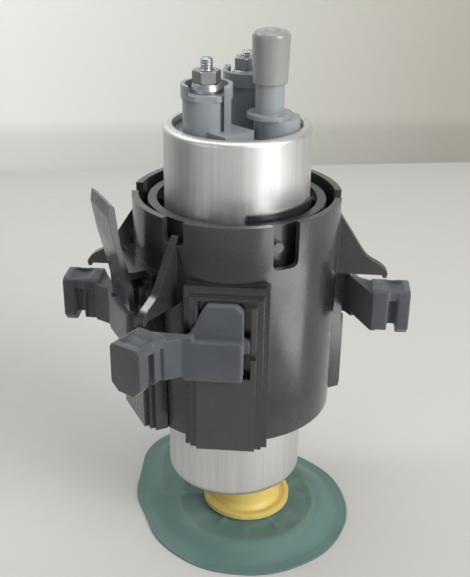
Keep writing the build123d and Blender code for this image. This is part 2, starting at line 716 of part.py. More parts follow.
def stud(centre, floor, top):
    """One terminal stud with its head below and a reduced tip above the nut."""
    base = floor - STUD_SINK
    free = nut_foot(floor) + NUT_THICKNESS + FIT
    rod = tube(STUD_HEAD_RADIUS, 0, base, base + STUD_HEAD_THICKNESS, centre)
    rod += tube(STUD_SHANK_RADIUS, 0, base, free, centre)
    tip = tube(STUD_TIP_RADIUS, 0, free, top, centre)
    tip = chamfer(tip.edges().group_by(Axis.Z)[-1], STUD_CHAMFER)
    return rod + tip


def nut_foot(floor):
    """The nut's underside above a post's floor, on its washer."""
    return floor + FIT + WASHER_THICKNESS + FIT


def washer(centre, floor):
    """A coned washer under the nut."""
    base = floor + FIT
    bore = STUD_SHANK_RADIUS + WASHER_BORE_GAP
    points = (
        (bore, base),
        (WASHER_RADIUS, base),
        (WASHER_RADIUS, base + WASHER_RIM),
        (WASHER_TOP_RADIUS, base + WASHER_THICKNESS),
        (bore, base + WASHER_THICKNESS),
    )
    return Pos(centre[0], centre[1], 0) * turned(points)


def nut(centre, floor, angle):
    """A hexagon nut with both faces chamfered."""
    corner = NUT_ACROSS_FLATS / math.sqrt(3)
    prism = extrude(RegularPolygon(corner, 6), NUT_THICKNESS)
    short = corner - NUT_CHAMFER
    rise = NUT_CHAMFER * math.tan(math.radians(NUT_CHAMFER_ANGLE))
    points = (
        (0, 0),
        (short, 0),
        (corner, rise),
        (corner, NUT_THICKNESS - rise),
        (short, NUT_THICKNESS),
        (0, NUT_THICKNESS),
    )
    solid = prism & turned(points)
    solid -= extrude(Circle(STUD_SHANK_RADIUS + NUT_BORE_GAP), NUT_THICKNESS)
    return Pos(centre[0], centre[1], nut_foot(floor)) * turn(angle) * solid


def nipple_cap():
    """The soft cap over the nipple, a little wider at its top."""
    top = nipple_top + SEAT_GAP + NIPPLE_CAP_ROOF
    base = top - NIPPLE_CAP_LENGTH
    inner = NIPPLE_BEAD_RADIUS + NIPPLE_CAP_GAP
    button = NIPPLE_CAP_BUTTON_RADIUS
    face = make_face(
        Polyline(
            (inner, base),
            (NIPPLE_CAP_FOOT_RADIUS, base),
            (NIPPLE_CAP_TOP_RADIUS, top - 3.0),
            (NIPPLE_CAP_TOP_RADIUS, top),
            (button, top),
            (button - 0.6, top + NIPPLE_CAP_BUTTON_HEIGHT),
            (0, top + NIPPLE_CAP_BUTTON_HEIGHT),
            (0, top - NIPPLE_CAP_ROOF),
            (inner, top - NIPPLE_CAP_ROOF),
            close=True,
        )
    )
    shoulder = face.vertices().sort_by_distance((NIPPLE_CAP_TOP_RADIUS, top, 0))[0]
    face = fillet(shoulder, 1.6)
    solid = revolve(Plane.XZ * face, Axis.Z)
    return Pos(NIPPLE_CENTRE[0], NIPPLE_CENTRE[1], 0) * solid


def check_seat():
    """The seat ring at the foot of the outlet valve."""
    top = cap_base + CHECK_SEAT_THICKNESS
    return tube(CHECK_BORE_RADIUS - FIT, CHECK_SEAT_HOLE, cap_base + FIT, top, NIPPLE_CENTRE)


def check_plunger():
    """The outlet valve's plunger: a coned head and its guide stem."""
    base = cap_base + CHECK_SEAT_THICKNESS + VALVE_GAP
    shoulder = base + CHECK_HEAD_THICKNESS
    head = tube(CHECK_HEAD_RADIUS, 0, base, shoulder, NIPPLE_CENTRE)
    stem = tube(CHECK_STEM_RADIUS, 0, shoulder, shoulder + CHECK_STEM_LENGTH, NIPPLE_CENTRE)
    return head + stem


def check_spring():
    """The outlet valve's spring."""
    base = cap_base + CHECK_SEAT_THICKNESS + CHECK_HEAD_THICKNESS + 2 * VALVE_GAP
    top = cap_base + CHECK_BORE_DEPTH - VALVE_GAP
    return coil_spring(
        CHECK_SPRING_RADIUS, CHECK_SPRING_WIRE, base, top, CHECK_SPRING_TURNS, NIPPLE_CENTRE
    )


def relief_levels():
    """The seat's underside and top and the ball's centre of the relief valve."""
    base = cap_base - RELIEF_BOSS_HEIGHT + FIT
    top = base + RELIEF_SEAT_THICKNESS
    sit = math.sqrt(RELIEF_BALL_RADIUS**2 - RELIEF_SEAT_HOLE**2)
    return base, top, top + sit + VALVE_GAP


def relief_seat():
    """The relief valve's seat ring."""
    base, top, _ = relief_levels()
    return tube(RELIEF_BORE_RADIUS - FIT, RELIEF_SEAT_HOLE, base, top, BLOCK_CENTRE)


def relief_ball():
    """The relief valve's ball."""
    _, _, middle = relief_levels()
    return Pos(BLOCK_CENTRE[0], BLOCK_CENTRE[1], middle) * Sphere(RELIEF_BALL_RADIUS)


def relief_spring():
    """The relief valve's spring, from the ball to the block's roof."""
    _, _, middle = relief_levels()
    base = middle + RELIEF_BALL_RADIUS * 0.75
    top = deck + BLOCK_HEIGHT - RELIEF_ROOF - VALVE_GAP
    return coil_spring(
        RELIEF_SPRING_RADIUS, RELIEF_SPRING_WIRE, base, top, RELIEF_SPRING_TURNS, BLOCK_CENTRE
    )


def above_mount(points):
    """Reach and height of points given by stand off the shell and height above the mount."""
    return [(SHELL_TOP_RADIUS + stand, mount_top + rise) for stand, rise in points]


def wing(azimuth):
    """One upright wing with a swept upper edge and a hooked tip, above a mount."""
    top = above_mount(WING_TOP)
    foot = above_mount(WING_FOOT)
    root = top[0][0] - WING_ROOT_SINK
    edge = Spline(*top)
    edge += Polyline(top[-1], *foot, (root, foot[-1][1]), (root, top[0][1]), top[0])
    face = Plane.XZ * make_face(edge)
    solid = Pos(0, WING_THICKNESS / 2, 0) * extrude(face, WING_THICKNESS, dir=(0, -1, 0))
    return turn(azimuth) * solid


def boss(azimuth):
    """One stepped boss with the pocket, neck mouth and rail notch cut in it."""
    solid = None
    for half, stand, rise in BOSS_STEPS:
        low = (SHELL_BASE_RADIUS - SHELL_WALL, -half, SHELL_BASE_HEIGHT)
        step = block(low, (SHELL_TOP_RADIUS + stand, half, pocket_top + rise))
        solid = step if solid is None else solid + step
    far = rail_reach + FUSE
    mouth_top = seat_top + NECK_MOUTH_GAP
    solid -= block((pocket_reach, POCKET_LEFT, pocket_floor), (far, POCKET_RIGHT, pocket_top))
    solid -= block((pocket_reach, NECK_MOUTH_LEFT, pocket_floor), (far, POCKET_LEFT, mouth_top))
    rail = rail_reach - RAIL_NOTCH_DEPTH
    notch = pocket_floor + RAIL_NOTCH_RISE
    solid -= block(
        (rail, POCKET_RIGHT, notch), (far, BOSS_STEPS[-1][0] + FUSE, notch + RAIL_NOTCH_HEIGHT)
    )
    return turn(azimuth) * solid


def snap_tongue():
    """The tall sprung tongue with its lead-in, tied to the boss by a bridge."""
    line = above_mount(TONGUE_LINE)
    inner = [(reach - TONGUE_THICKNESS, height) for reach, height in reversed(line[:-1])]
    tongue = plate_on_arm(line + above_mount(TONGUE_RIDGE) + inner, TONGUE_WIDTH)
    top = pocket_top + BOSS_STEPS[0][2]
    bridge_end = line[2][0] - TONGUE_THICKNESS
    half = TONGUE_WIDTH / 2
    base = top - TONGUE_BRIDGE_THICKNESS
    bridge_root = SHELL_TOP_RADIUS + BOSS_STEPS[0][1] - TONGUE_BRIDGE_SINK
    tongue += block((bridge_root, -half, base), (bridge_end, half, top))
    return turn(TONGUE_AZIMUTH) * tongue


def holder_shell():
    """The moulded holder: drafted sleeve, floor lip, ribs, slots, bosses and wings."""
    drop = SHELL_TOP_RADIUS - SHELL_BASE_RADIUS
    floor_inner = SHELL_BASE_RADIUS - SHELL_WALL + drop * SHELL_FLOOR / SHELL_HEIGHT
    body = turned(
        (
            (SHELL_FLOOR_OPENING, SHELL_BASE_HEIGHT),
            (SHELL_BASE_RADIUS, SHELL_BASE_HEIGHT),
            (SHELL_TOP_RADIUS, shell_top),
            (SHELL_TOP_RADIUS - SHELL_WALL, shell_top),
            (floor_inner, seat_base),
            (SHELL_FLOOR_OPENING, seat_base),
        )
    )
    half = SHELL_RIB_WIDTH / 2
    rib = block(
        (SLEEVE_OUTER_RADIUS + SEAT_GAP, -half, seat_base - 0.5),
        (SHELL_BASE_RADIUS - SHELL_WALL / 2, half, shell_top - SHELL_RIB_DROP),
    )
    for i in range(SHELL_RIB_COUNT):
        step = 360 / SHELL_RIB_COUNT
        body += turn(ARM_AZIMUTHS[0] + step * (i + 0.5)) * rib
    for azimuth in ARM_AZIMUTHS:
        body += boss(azimuth + BOSS_TURN)
    bare = [(azimuth, BARE_SLOT_WIDTH, BARE_SLOT_DEPTH) for azimuth in BARE_SLOT_AZIMUTHS]
    arms = [(azimuth, ARM_SLOT_WIDTH, ARM_SLOT_DEPTH) for azimuth in ARM_AZIMUTHS]
    inside = SHELL_TOP_RADIUS - 2 * SHELL_WALL
    for azimuth, width, depth in bare + arms:
        round_bottom = width / 4
        section = RectangleRounded(width, 2 * depth, round_bottom)
        cutter = Plane.YZ * section
        cutter = Pos(inside, 0, shell_top) * extrude(cutter, 3 * SHELL_WALL)
        body -= turn(azimuth) * cutter
    for azimuth in ARM_AZIMUTHS:
        body += wing(azimuth)
    return body + snap_tongue()


def pump_sleeve():
    """The inner sleeve: outer ring, grip pads on the can, a part lip and two lugs."""
    top = shell_top - SLEEVE_TOP_DROP
    body = tube(SLEEVE_OUTER_RADIUS, SLEEVE_INNER_RADIUS, seat_base + FIT, top)
    grip = CAN_RADIUS + FIT
    pad = block(
        (CAN_RADIUS - 1, -SLEEVE_PAD_WIDTH / 2, seat_base + FIT),
        (SLEEVE_INNER_RADIUS + 0.5, SLEEVE_PAD_WIDTH / 2, shell_top - SLEEVE_PAD_DROP),
    )
    for i in range(SLEEVE_PAD_COUNT):
        body += turn(360 * (i + 0.5) / SLEEVE_PAD_COUNT) * pad
    lip_base = shell_top - SLEEVE_PAD_DROP - SLEEVE_LIP_FOOT
    lip_top = shell_top + SLEEVE_LIP_RISE
    lip_points = (
        (grip - SLEEVE_LIP_WALL, lip_base),
        (grip + SLEEVE_LIP_WALL, lip_base),
        (grip + SLEEVE_LIP_WALL, lip_top),
        (grip - SLEEVE_LIP_WALL, lip_top),
    )
    body += turn(SLEEVE_LIP_START) * turned(lip_points, SLEEVE_LIP_SPAN)
    body -= tube(grip, 0, SHELL_BASE_HEIGHT, lip_top + 1)
    peg = Plane.YZ * Pos(0, shell_top - SLEEVE_PEG_DROP) * Circle(SLEEVE_PEG_RADIUS)
    root = SLEEVE_OUTER_RADIUS - SLEEVE_PEG_RADIUS
    peg = Pos(root, 0, 0) * extrude(peg, SLEEVE_PEG_REACH - root)
    for azimuth in BARE_SLOT_AZIMUTHS:
        body += turn(azimuth + SLEEVE_PEG_TURN) * peg
    return body


def head_section(inset, base, top):
    """The mount head's cross-section as a rounded upright rectangle."""
    width = 2 * (HEAD_HALF_WIDTH - inset)
    section = RectangleRounded(width, top - base, HEAD_CORNER)
    return Plane.YZ * Pos(0, (top + base) / 2) * section


def mount_head():
    """The grooved rubber head: plate, groove, body, top slab, saddle and side arch."""
    base = mount_base
    body_base = base + BODY_FOOT_RISE
    plate = Pos(plate_back, 0, 0) * extrude(head_section(0, base, mount_top), PLATE_THICKNESS)
    cut = PLATE_FOOT_CHAMFER
    for side in (-1, 1):
        edge = side * (HEAD_HALF_WIDTH + FIT)
        low = base - FIT
        corner = Polyline((edge, low), (edge - side * cut, low), (edge, base + cut), close=True)
        wedge = extrude(Plane.YZ * make_face(corner), PLATE_THICKNESS + 2 * FIT)
        plate -= Pos(plate_back - FIT, 0, 0) * wedge
    groove = head_section(GROOVE_DEPTH, body_base + GROOVE_FOOT, mount_top - SLAB_HEIGHT / 2)
    core = Pos(body_front - FUSE, 0, 0) * extrude(groove, GROOVE_WIDTH + 2 * FUSE)
    body = Pos(body_back, 0, 0) * extrude(head_section(0, body_base, mount_top), BODY_LENGTH)
    slab = head_section(SLAB_INSET, mount_top - SLAB_HEIGHT, mount_top)
    solid = plate + core + body + Pos(body_front - FUSE, 0, 0) * extrude(slab, GROOVE_WIDTH + 2 * FUSE)
    saddle_height = mount_top - SADDLE_DEPTH + SADDLE_RADIUS
    saddle = Pos((plate_back + body_front) / 2, 0, saddle_height) * Rot(90, 0, 0)
    solid -= saddle * Cylinder(SADDLE_RADIUS, 2 * (HEAD_HALF_WIDTH - SADDLE_CHEEK))
    arch = SlotCenterToCenter(2 * (ARCH_HEIGHT - ARCH_WIDTH / 2), ARCH_WIDTH, 90)
    side = Plane.XZ * Pos(body_back + ARCH_SET, body_base) * arch
    bottom = HEAD_HALF_WIDTH - ARCH_DEPTH
    solid -= Pos(0, bottom, 0) * extrude(side, ARCH_DEPTH + FUSE, dir=(0, 1, 0))
    return Pos(0, HEAD_SHIFT, 0) * solid


def in_arm_directions(reach, across):
    """A boss point of reach and across, turned into the arm's own directions."""
    angle = math.radians(BOSS_TURN)
    x = reach * math.cos(angle) - across * math.sin(angle)
    y = reach * math.sin(angle) + across * math.cos(angle)
    return x, y


def wedge_piece(left, low_left, back, front):
    """One upright slice of the seat's wedge, with its sloped left side."""
    right = SEAT_RIGHT
    low = seat_top - FIT
    outline = Polyline(
        (low_left, low),
        (right, low),
        (right, wedge_top - WEDGE_CORNER),
        (right - WEDGE_CORNER, wedge_top),
        (WEDGE_TOP_LEFT, wedge_top),
        (left, wedge_top - (WEDGE_TOP_LEFT - left) * WEDGE_SLOPE),
        close=True,
    )
    return Pos(back, 0, 0) * extrude(Plane.YZ * make_face(outline), front - back)


def mount_seat():
    """The seat block and its wedge, in the boss's own directions."""
    back = pocket_reach + FIT
    low = mount_base
    right = SEAT_RIGHT
    left = POCKET_LEFT + SEAT_GAP
    seat = block((back, left, low), (seat_reach, right, seat_top))
    seat += block((seat_front, SEAT_LEFT, low), (seat_reach, left + FUSE, seat_top))
    upright = seat.edges().filter_by(Axis.Z).sort_by_distance((seat_reach, right, low))[0]
    seat = fillet(upright, SEAT_EDGE)
    seat += wedge_piece(left, left, back, wedge_reach)
    seat += wedge_piece(SEAT_LEFT + FUSE, SEAT_LEFT, seat_front, wedge_reach)
    tab_base = seat_top - TAB_HEIGHT
    tab = block((back + FUSE, right - FUSE, tab_base), (wedge_reach, right + TAB_WIDTH, seat_top))
    return seat + tab


def rubber_mount(azimuth):
    """One rubber mount: seat block on the boss, bent neck and grooved head."""
    neck_end = body_back + HEAD_CORNER
    root = SEAT_LEFT + NECK_ROOT
    outer = HEAD_SHIFT + HEAD_HALF_WIDTH
    inner = HEAD_SHIFT - HEAD_HALF_WIDTH + NECK_INSET
    neck = make_face(
        Polyline(
            in_arm_directions(seat_front, root),
            in_arm_directions(seat_reach, root),
            in_arm_directions(seat_reach, SEAT_LEFT),
            (neck_end, outer),
            (neck_end, inner),
            (neck_end - HEAD_CORNER, inner),
            in_arm_directions(seat_front, SEAT_LEFT),
            close=True,
        )
    )
    low = mount_base + BODY_FOOT_RISE
    solid = Pos(0, 0, low) * extrude(neck, mount_top - NECK_TOP_DROP - low)
    solid += turn(BOSS_TURN) * mount_seat()
    return turn(azimuth) * (mount_head() + solid)


def sock_outline(inset):
    """The strainer's plan: a round front drawn out by a full side to a smaller round tail."""
    front = Pos(SOCK_FRONT_OFFSET, 0) * Circle(SOCK_FRONT_RADIUS - inset)
    tail = Pos(*SOCK_TAIL_CENTRE) * Circle(SOCK_TAIL_RADIUS - inset)
    side = Pos(*SOCK_SIDE_CENTRE) * Circle(SOCK_SIDE_RADIUS - inset)
    return make_hull((front + side + tail).edges())


def sock_cushion(inset, base, top):
    """The raised middle between two heights, drawn in towards its top."""
    drawn_in = inset + (top - base) * math.tan(math.radians(SOCK_SLOPE))
    low = Pos(0, 0, base) * sock_outline(inset)
    high = Pos(0, 0, top) * sock_outline(drawn_in)
    return loft([low, high], ruled=True)


def strainer_sock():
    """The woven bag: a welded flat edge and a raised hollow middle."""
    body = extrude(sock_outline(0), SOCK_EDGE)
    body += sock_cushion(SOCK_WELD, SOCK_EDGE - 0.1, SOCK_HEIGHT)
    body -= sock_cushion(SOCK_WELD + 2 * SOCK_SKIN, SOCK_EDGE, SOCK_HEIGHT - SOCK_SKIN)
    hole = SPIGOT_RADIUS + FIT + NECK_WALL + SEAT_GAP
    return body - tube(hole, 0, SOCK_EDGE + 1, SOCK_HEIGHT + 1, (INLET_OFFSET, 0.0))


def frame_levels():
    """The underside and top of the strainer's inner frame."""
    return SOCK_EDGE + SEAT_GAP, SOCK_HEIGHT - SOCK_SKIN - SEAT_GAP


def strainer_frame():
    """The stiff ring and spokes that hold the bag open."""
    base, top = frame_levels()
    centre = (INLET_OFFSET, 0.0)
    half = FRAME_RING_WIDTH / 2
    body = tube(FRAME_RING_RADIUS + half, FRAME_RING_RADIUS - half, base, top - 0.8, centre)
    hub = SPIGOT_RADIUS + FIT + NECK_WALL + SEAT_GAP
    body += tube(hub + FRAME_HUB_WIDTH, hub, base, top - 0.8, centre)
    for i in range(FRAME_RIB_COUNT):
        rib = block(
            (hub + 1, -FRAME_RIB_WIDTH / 2, base), (FRAME_RING_RADIUS, FRAME_RIB_WIDTH / 2, top - 1.2)
        )
        body += Pos(INLET_OFFSET, 0, 0) * turn(FRAME_RIB_TURN + 30 + 60 * i) * rib
    return body


def strainer_neck():
    """The flanged neck between strainer and spigot."""
    base = SOCK_HEIGHT + FIT
    top = base + NECK_FLANGE_THICKNESS
    inner = SPIGOT_RADIUS + FIT
    outer = inner + NECK_WALL
    neck_top = cover_base - COVER_PILOT - NECK_TOP_GAP
    neck = turned(
        (
            (inner, SOCK_EDGE + 1.2),
            (outer, SOCK_EDGE + 1.2),
            (outer, base),
            (NECK_FLANGE_RADIUS, base),
            (NECK_FLANGE_RADIUS, top + NECK_LIP_RISE),
            (NECK_FLANGE_RADIUS - NECK_LIP_WIDTH, top + NECK_LIP_RISE),
            (NECK_FLANGE_RADIUS - 2 * NECK_LIP_WIDTH, top),
            (outer + 1.2, top),
            (outer, top + 1.2),
            (outer, neck_top),
            (inner, neck_top),
        )
    )
    return Pos(INLET_OFFSET, 0, 0) * neck


def retaining_ring():
    """The toothed push-on washer inside the neck, under the spigot's end."""
    spigot_base = cover_base - COVER_PILOT - SPIGOT_LENGTH
    outer = SPIGOT_RADIUS
    base = spigot_base - SEAT_GAP - CLIP_RING_THICKNESS
    return tube(outer, outer - CLIP_RING_WALL, base, base + CLIP_RING_THICKNESS, (INLET_OFFSET, 0.0))


nodes = {
    "pump_can": can(),
    "inlet_cover": inlet_cover(),
    "impeller": impeller(),
    "chamber_ring": chamber_ring(),
    "pump_housing": pump_housing(),
    "lower_bush": bush(housing_boss_top - LOWER_BUSH_LENGTH, LOWER_BUSH_LENGTH),
    "upper_bush": bush(brush_plate_base + HOLDER_HUB_HEIGHT - UPPER_BUSH_LENGTH, UPPER_BUSH_LENGTH),
    "thrust_pad": thrust_pad(),
    "rotor_shaft": shaft(),
    "armature_core": armature_core(),
    "armature_winding": armature_winding(),
    "commutator_hub": commutator_hub(),
    "commutator_segments": commutator_segments(),
    "flux_ring": flux_ring(),
    "magnet_north": magnet(90.0),
    "magnet_south": magnet(270.0),
    "magnet_clips": magnet_clip(0.0) + magnet_clip(180.0),
    "brush_plate": brush_plate(),
    "brush_right": brush(0),
    "brush_left": brush(1),
    "brush_spring_right": brush_spring(0),
    "brush_spring_left": brush_spring(1),
    "suppression_chokes": choke(0) + choke(1),
    "end_cap": end_cap(),
    "end_cap_seal": cap_seal(),
    "terminal_stud_left": stud(LEFT_POST, post_floor, stud_top),
    "terminal_stud_rear": stud(REAR_POST, rear_floor, rear_stud_top),
    "terminal_washer_left": washer(LEFT_POST, post_floor),
    "terminal_washer_rear": washer(REAR_POST, rear_floor),
    "terminal_nut_left": nut(LEFT_POST, post_floor, 10.0),
    "terminal_nut_rear": nut(REAR_POST, rear_floor, 22.0),
    "nipple_cap": nipple_cap(),
    "check_valve_seat": check_seat(),
    "check_valve_plunger": check_plunger(),
    "check_valve_spring": check_spring(),
    "relief_valve_seat": relief_seat(),
    "relief_valve_ball": relief_ball(),
    "relief_valve_spring": relief_spring(),
    "tank_holder": holder_shell(),
    "pump_sleeve": pump_sleeve(),
    "strainer_sock": strainer_sock(),
    "strainer_frame": strainer_frame(),
    "strainer_neck": strainer_neck(),
    "retaining_ring": retaining_ring(),
}
for name, azimuth in zip(("left", "front", "right", "rear"), ARM_AZIMUTHS):
    nodes["rubber_mount_" + name] = rubber_mount(azimuth)

os.makedirs("parts", exist_ok=True)
for name, solid in nodes.items():
    solid.label = name
    export_step(solid, os.path.join("parts", name + ".step"))
    print(name, len(solid.solids()), round(solid.volume, 1))
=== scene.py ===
"""Looks of a fuel pump on its rubber-mounted holder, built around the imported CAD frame."""

import json
import logging
import math
from dataclasses import dataclass
from enum import Enum

import bmesh
import bpy
from mathutils import Matrix, Vector


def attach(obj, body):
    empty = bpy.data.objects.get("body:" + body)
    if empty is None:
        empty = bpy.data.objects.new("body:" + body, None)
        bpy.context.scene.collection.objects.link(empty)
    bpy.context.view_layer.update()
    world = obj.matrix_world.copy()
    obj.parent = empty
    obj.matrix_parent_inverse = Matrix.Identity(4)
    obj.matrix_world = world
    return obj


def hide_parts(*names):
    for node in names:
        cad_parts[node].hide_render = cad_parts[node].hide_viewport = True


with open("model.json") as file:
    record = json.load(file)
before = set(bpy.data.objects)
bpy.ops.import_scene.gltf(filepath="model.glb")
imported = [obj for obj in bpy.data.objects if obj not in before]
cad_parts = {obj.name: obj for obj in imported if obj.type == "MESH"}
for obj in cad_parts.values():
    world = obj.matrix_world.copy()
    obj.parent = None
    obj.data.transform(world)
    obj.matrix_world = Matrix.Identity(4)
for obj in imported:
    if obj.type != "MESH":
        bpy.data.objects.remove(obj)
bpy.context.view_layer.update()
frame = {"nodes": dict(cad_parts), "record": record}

LOG = logging.getLogger("scene")
BLACK = (0.0, 0.0, 0.0)
WHITE = (1.0, 1.0, 1.0)
EVEN = (1.0, 1.0, 1.0)


class Relief(Enum):
    """The kinds of fine surface relief that a finish can carry."""

    NONE = "none"
    GRAIN = "grain"
    STREAKS = "streaks"
    TURNED = "turned"
    WEAVE = "weave"


@dataclass(frozen=True)
class Finish:
    """One procedural surface finish.

    Sizes are in metres, in the piece's own object coordinates.
    """

    name: str
    colour: tuple
    roughness: float = 0.5
    metallic: float = 0.0
    relief: Relief = Relief.GRAIN
    relief_scale: float = 900.0
    relief_depth: float = 0.00005
    mottle: float = 0.12
    mottle_scale: float = 60.0
    worn: float = 0.0
    edge_radius: float = 0.00035
    sheen: float = 0.0
    coat: float = 0.0
    subsurface: float = 0.0
    alpha: float = 1.0
    smudge: float = 0.0
    dust: float = 0.0
    dust_colour: tuple = (0.30, 0.30, 0.29)
    coat_roughness: float = 0.15
    subsurface_scale: float = 0.003
    streak_stretch: tuple = (1.0, 1.0, 0.025)
    roughness_spread: float = 0.15

    def build(self) -> bpy.types.Material:
        """Makes the material.

        Returns:
            The new node material.
        """
        material = bpy.data.materials.new(self.name)
        material.use_nodes = True
        tree = material.node_tree
        tree.nodes.clear()
        output = tree.nodes.new("ShaderNodeOutputMaterial")
        shader = tree.nodes.new("ShaderNodeBsdfPrincipled")
        tree.links.new(shader.outputs["BSDF"], output.inputs["Surface"])
        shader.inputs["Metallic"].default_value = self.metallic
        shader.inputs["Coat Weight"].default_value = self.coat
        shader.inputs["Coat Roughness"].default_value = self.coat_roughness
        shader.inputs["Sheen Weight"].default_value = self.sheen
        shader.inputs["Alpha"].default_value = self.alpha
        if self.subsurface > 0:
            shader.inputs["Subsurface Weight"].default_value = self.subsurface
            shader.inputs["Subsurface Scale"].default_value = self.subsurface_scale
        coordinates = tree.nodes.new("ShaderNodeTexCoord").outputs["Object"]
        self._colour(tree, coordinates, shader)
        self._relief(tree, coordinates, shader)
        return material

    def _noise(self, tree, coordinates, scale, stretch=EVEN, detail=4.0):
        """Adds a noise texture.

        Args:
            tree: The material's node tree.
            coordinates: The socket that gives the coordinates.
            scale: Noise cells per metre.
            stretch: Scale of each axis before the noise.
            detail: Octaves of the noise.

        Returns:
            The noise's value socket.
        """
        mapping = tree.nodes.new("ShaderNodeMapping")
        mapping.inputs["Scale"].default_value = stretch
        tree.links.new(coordinates, mapping.inputs["Vector"])
        noise = tree.nodes.new("ShaderNodeTexNoise")
        noise.inputs["Scale"].default_value = scale
        noise.inputs["Detail"].default_value = detail
        tree.links.new(mapping.outputs["Vector"], noise.inputs["Vector"])
        return noise.outputs["Fac"]

    def ramp(self, tree, source, stops):
        """Adds a colour ramp.

        Args:
            tree: The material's node tree.
            source: The socket that drives the ramp.
            stops: Pairs of position and RGB colour.

        Returns:
            The ramp's colour socket.
        """
        ramp = tree.nodes.new("ShaderNodeValToRGB")
        elements = ramp.color_ramp.elements
        for element, (position, colour) in zip(elements, (stops[0], stops[-1])):
            element.position = position
            element.color = (*colour, 1.0)
        for position, colour in stops[1:-1]:
            elements.new(position).color = (*colour, 1.0)
        tree.links.new(source, ramp.inputs["Fac"])
        return ramp.outputs["Color"]

    def _colour(self, tree, coordinates, shader) -> None:
        """Gives the shader its mottled colour and roughness.

        Args:
            tree: The material's node tree.
            coordinates: The socket that gives the coordinates.
            shader: The principled shader.
        """
        streaked = self.relief is Relief.STREAKS
        stretch = self.streak_stretch if streaked else EVEN
        scale = self.relief_scale if streaked else self.mottle_scale
        cloud = self._noise(tree, coordinates, scale, stretch)
        low = tuple(c * (1 - self.mottle) for c in self.colour)
        high = tuple(min(1.0, c * (1 + self.mottle)) for c in self.colour)
        colour = self.ramp(tree, cloud, ((0.3, low), (0.7, high)))
        if self.worn > 0:
            geometry = tree.nodes.new("ShaderNodeNewGeometry")
            pale = tuple(min(1.0, c + self.worn) for c in self.colour)
            edge = self.ramp(tree, geometry.outputs["Pointiness"], ((0.52, BLACK), (0.6, WHITE)))
            colour = self._blend(tree, edge, colour, pale)
        if self.dust > 0:
            colour = self._dust(tree, coordinates, colour)
        tree.links.new(colour, shader.inputs["Base Color"])
        rough_low = (max(0.05, self.roughness * (1 - self.roughness_spread)),) * 3
        rough_high = (min(1.0, self.roughness * (1 + self.roughness_spread)),) * 3
        fine = self._noise(tree, coordinates, scale * 2.3, stretch)
        rough = self.ramp(tree, fine, ((0.3, rough_low), (0.7, rough_high)))
        if self.smudge > 0:
            cloud = self._noise(tree, coordinates, 95.0, detail=6.0)
            patch = self.ramp(tree, cloud, ((0.45, BLACK), (0.75, WHITE)))
            add = tree.nodes.new("ShaderNodeMath")
            add.operation = "MULTIPLY_ADD"
            add.inputs[1].default_value = self.smudge * 0.5
            tree.links.new(patch, add.inputs[0])
            tree.links.new(rough, add.inputs[2])
            rough = add.outputs["Value"]
        tree.links.new(rough, shader.inputs["Roughness"])

    def _dust(self, tree, coordinates, colour):
        """Lays pale dust and scuffs over a colour, more of it on upward faces.

        Args:
            tree: The material's node tree.
            coordinates: The socket that gives the coordinates.
            colour: The clean colour's socket.

        Returns:
            The dusted colour's socket.
        """
        fine = self._noise(tree, coordinates, 1900.0, detail=6.0)
        specks = self.ramp(tree, fine, ((0.56, BLACK), (0.72, WHITE)))
        broad = self._noise(tree, coordinates, 130.0, detail=5.0)
        cloud = self.ramp(tree, broad, ((0.40, BLACK), (0.80, WHITE)))
        geometry = tree.nodes.new("ShaderNodeNewGeometry")
        split = tree.nodes.new("ShaderNodeSeparateXYZ")
        tree.links.new(geometry.outputs["Normal"], split.inputs["Vector"])
        upward = self.ramp(tree, split.outputs["Z"], ((0.1, (0.45, 0.45, 0.45)), (0.9, WHITE)))
        amount = self.multiply(tree, self.multiply(tree, specks, cloud), upward)
        return self._blend(tree, self.multiply(tree, amount, self.dust), colour, self.dust_colour)

    def _blend(self, tree, share, colour, other):
        """Blends a colour socket towards a fixed colour.

        Args:
            tree: The material's node tree.
            share: The socket that says how far.
            colour: The colour's socket.
            other: The fixed RGB colour.

        Returns:
            The blended colour's socket.
        """
        mix = tree.nodes.new("ShaderNodeMixRGB")
        tree.links.new(share, mix.inputs["Fac"])
        tree.links.new(colour, mix.inputs["Color1"])
        mix.inputs["Color2"].default_value = (*other, 1.0)
        return mix.outputs["Color"]

    def multiply(self, tree, first, second):
        """Multiplies a socket by another socket or by a number.

        Args:
            tree: The material's node tree.
            first: One value socket.
            second: The other value socket, or a number.

        Returns:
            The product's socket.
        """
        product = tree.nodes.new("ShaderNodeMath")
        product.operation = "MULTIPLY"
        tree.links.new(first, product.inputs[0])
        if isinstance(second, float):
            product.inputs[1].default_value = second
        else:
            tree.links.new(second, product.inputs[1])
        return product.outputs["Value"]

    def _relief(self, tree, coordinates, shader) -> None:
        """Gives the shader its bump and its softened edges.

        Args:
            tree: The material's node tree.
            coordinates: The socket that gives the coordinates.
            shader: The principled shader.
        """
        bevel = tree.nodes.new("ShaderNodeBevel")
        bevel.samples = 4
        bevel.inputs["Radius"].default_value = self.edge_radius
        normal = bevel.outputs["Normal"]
        height = None
        if self.relief is Relief.GRAIN:
            height = self._noise(tree, coordinates, self.relief_scale)
        elif self.relief is Relief.STREAKS:
            height = self._noise(tree, coordinates, self.relief_scale, (1.0, 1.0, 0.02))
        elif self.relief is Relief.TURNED:
            height = self._noise(tree, coordinates, self.relief_scale, (0.05, 0.05, 1.0))
        elif self.relief is Relief.WEAVE:
            height = self._weave(tree, coordinates)
        if height is not None:
            bump = tree.nodes.new("ShaderNodeBump")
            bump.inputs["Distance"].default_value = self.relief_depth
            bump.inputs["Strength"].default_value = 1.0
            tree.links.new(height, bump.inputs["Height"])
            tree.links.new(normal, bump.inputs["Normal"])
            normal = bump.outputs["Normal"]
        tree.links.new(normal, shader.inputs["Normal"])

